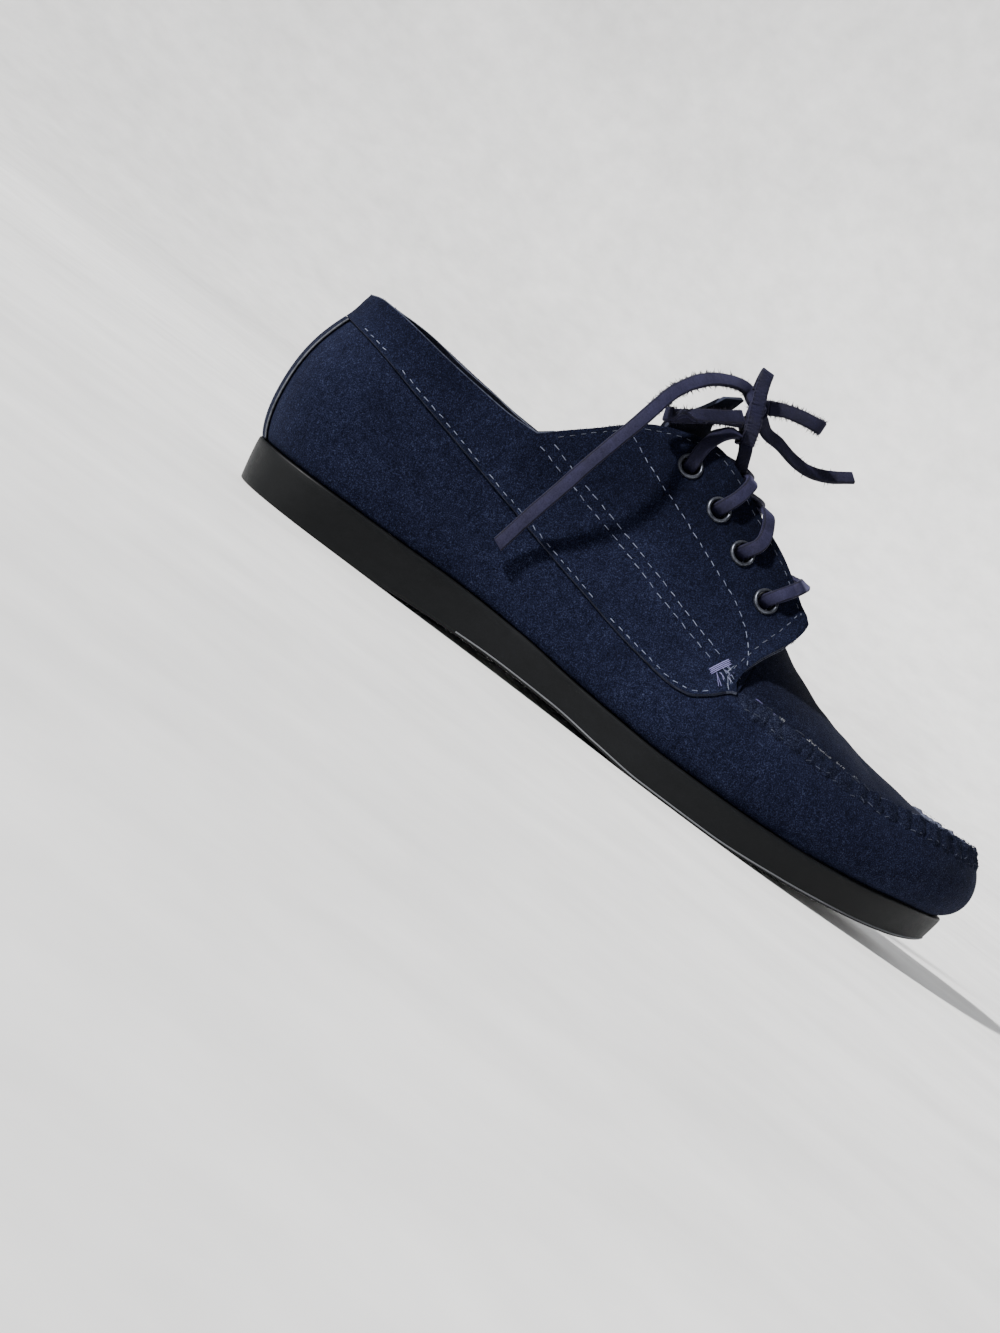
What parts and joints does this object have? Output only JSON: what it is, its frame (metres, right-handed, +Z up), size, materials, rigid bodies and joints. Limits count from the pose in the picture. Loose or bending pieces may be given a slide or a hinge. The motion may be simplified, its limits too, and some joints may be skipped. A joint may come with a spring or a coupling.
{
  "type": "camp moccasin",
  "caption": "Hollow low-cut lace-up moccasin with a raised toe seam, eyelet flaps, a low collar and a flat rubber unit sole.",
  "frame": {"origin": "on the floor under the middle of the shoe's box, the free lace left out", "axes": "+X towards the toe, +Y to the medial side, +Z up"},
  "size_m": [0.3108, 0.1102, 0.143],
  "materials": {
    "suede": "napped navy suede",
    "suede_dark": "napped dark navy suede",
    "insole_leather": "smooth dark leather",
    "rubber": "satin charcoal",
    "lace_leather": "oiled blue-violet rawhide lace",
    "eyelet_metal": "dark gunmetal"
  },
  "bodies": {
    "root": {"outsole": "rubber", "insole": "insole_leather", "upper": "suede", "quarters": "suede", "back_strip": "suede_dark", "tongue": "suede_dark", "eyelet_lateral_1": "eyelet_metal", "eyelet_lateral_2": "eyelet_metal", "eyelet_lateral_3": "eyelet_metal", "eyelet_lateral_4": "eyelet_metal", "eyelet_medial_1": "eyelet_metal", "eyelet_medial_2": "eyelet_metal", "eyelet_medial_3": "eyelet_metal", "eyelet_medial_4": "eyelet_metal", "lace_tie_1": "lace_leather", "lace_crossing_2": "lace_leather", "lace_crossing_3": "lace_leather", "lace_bar_4": "lace_leather", "lace_knot": "lace_leather", "lace_bight": "lace_leather", "lace_loop_back": "lace_leather", "lace_loop_front": "lace_leather", "lace_end_long": "lace_leather", "lace_end_short": "lace_leather"}
  },
  "joints": []
}
